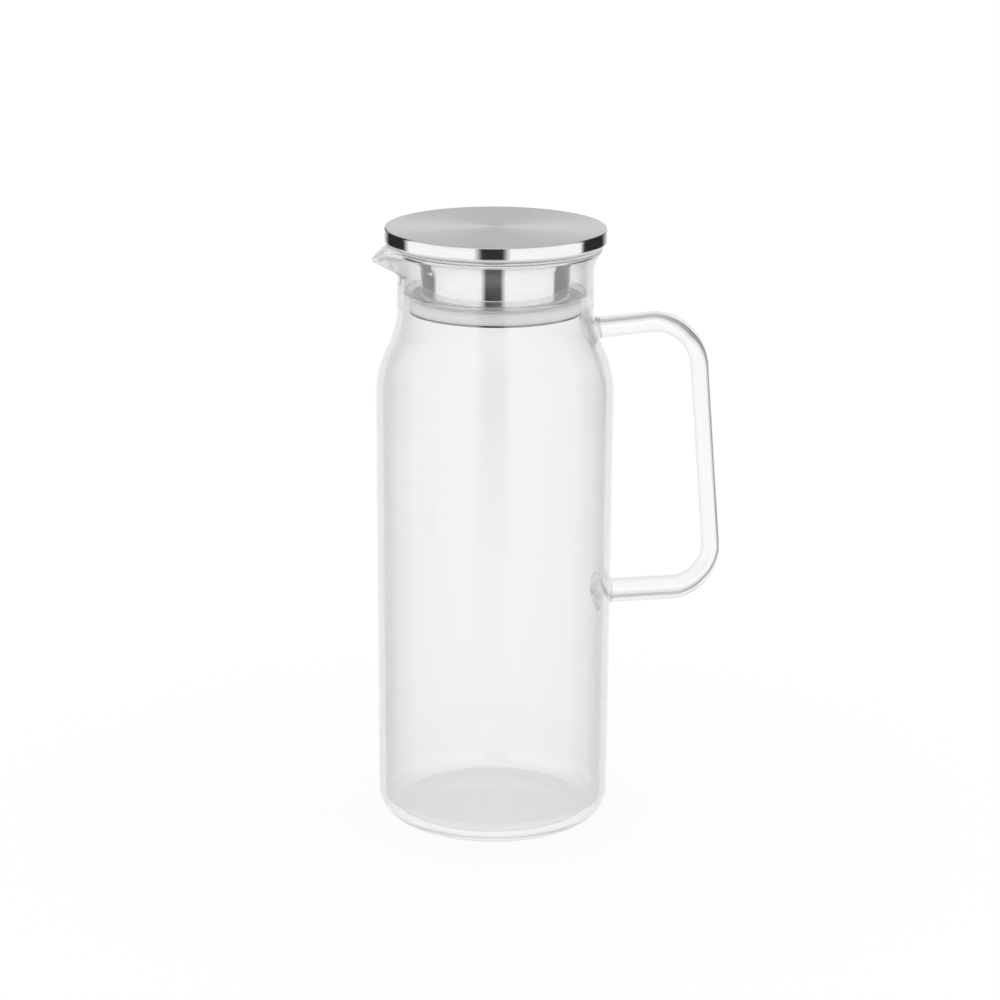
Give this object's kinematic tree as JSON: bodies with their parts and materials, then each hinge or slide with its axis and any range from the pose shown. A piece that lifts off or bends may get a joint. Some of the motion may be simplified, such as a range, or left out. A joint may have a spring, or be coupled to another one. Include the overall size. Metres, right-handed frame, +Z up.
{
  "type": "glass pitcher with lid",
  "caption": "Straight-sided glass pitcher with a narrowed neck, pouring spout and bent glass rod handle, closed by a lift-off steel lid with a sealed stopper.",
  "frame": {"origin": "centre of the foot, on the surface the pitcher stands on and on the vessel's axis", "axes": "+Z up along the vessel's axis, +X towards the handle, -X towards the spout"},
  "size_m": [0.163, 0.1062, 0.2723],
  "materials": {
    "clear_glass": "clear blown borosilicate, smooth and polished",
    "brushed_steel": "stainless, top brushed in circles, edge polished",
    "polished_steel": "stainless, satin to polished, drawn sheet",
    "clear_silicone": "translucent silicone, smooth satin"
  },
  "bodies": {
    "vessel": {"glass_body": "clear_glass", "glass_handle": "clear_glass"},
    "lid": {"lid_cap": "brushed_steel", "lid_underplate": "polished_steel", "stopper_collar": "polished_steel", "stopper_base": "polished_steel", "seal_ring": "clear_silicone"}
  },
  "joints": [
    {"name": "lid_lift", "type": "slide", "parent": "vessel", "child": "lid", "axis": [0, 0, 1], "range_m": [0, 0.06]}
  ]
}
